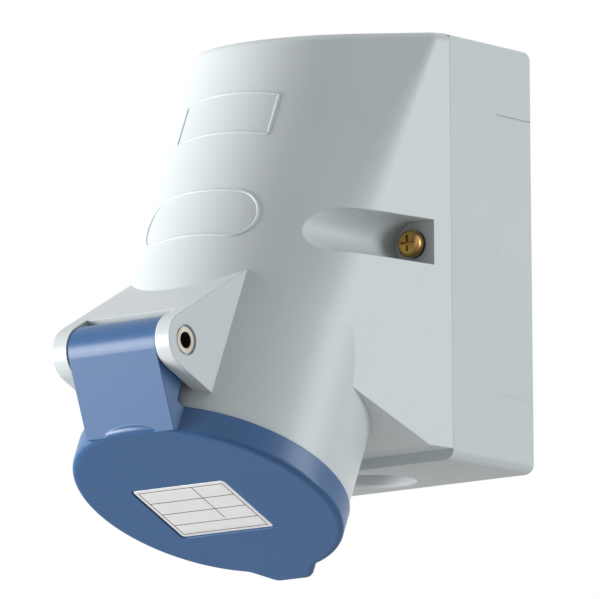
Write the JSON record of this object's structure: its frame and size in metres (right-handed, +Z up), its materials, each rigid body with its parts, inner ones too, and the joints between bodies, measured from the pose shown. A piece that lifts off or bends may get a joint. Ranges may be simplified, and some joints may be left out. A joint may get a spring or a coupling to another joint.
{
  "type": "industrial wall socket",
  "caption": "Surface-mounted industrial socket-outlet with a grey housing, a leaning barrel and a sprung blue lid.",
  "frame": {"origin": "centre of the base's flat back, where it rests on the wall", "axes": "+X right as seen from the front, +Y into the wall, +Z up"},
  "size_m": [0.089, 0.1399, 0.1564],
  "materials": {
    "housing_grey": "satin",
    "lid_blue": "satin",
    "insert_blue": "satin",
    "block_black": "satin",
    "label_foil": "satin",
    "seal_rubber": "matte",
    "screw_yellow_zinc": "satin",
    "pin_steel": "satin",
    "spring_steel": "bright",
    "small_screw_steel": "satin",
    "contact_brass": "satin"
  },
  "bodies": {
    "housing": {"base_box": "housing_grey", "cover_housing": "housing_grey", "insert_shroud": "insert_blue", "contact_block": "block_black", "insert_plate": "block_black", "insert_seal": "seal_rubber", "housing_gasket": "seal_rubber", "screw_washer_left": "seal_rubber", "screw_washer_right": "seal_rubber", "cover_screw_left": "screw_yellow_zinc", "cover_screw_right": "screw_yellow_zinc", "hinge_pin": "pin_steel", "lid_spring": "spring_steel", "contact_retainer": "block_black", "retainer_screw": "small_screw_steel", "insert_screw_left": "small_screw_steel", "insert_screw_right": "small_screw_steel", "contact_earth": "contact_brass", "terminal_screw_earth": "small_screw_steel", "contact_neutral": "contact_brass", "terminal_screw_neutral": "small_screw_steel", "contact_line_1": "contact_brass", "terminal_screw_line_1": "small_screw_steel", "contact_line_2": "contact_brass", "terminal_screw_line_2": "small_screw_steel", "contact_line_3": "contact_brass", "terminal_screw_line_3": "small_screw_steel"},
    "lid": {"lid": "lid_blue", "lid_gasket": "seal_rubber", "rating_label": "label_foil"}
  },
  "joints": [
    {"name": "lid_hinge", "type": "hinge", "parent": "housing", "child": "lid", "pos_m": [0, -0.13197, -0.03669], "axis": [-1, 0, 0], "range_deg": [0, 110], "stiffness_Nm_per_rad": 0.06, "springref_deg": -68.75, "deforming": ["lid_spring"]}
  ]
}
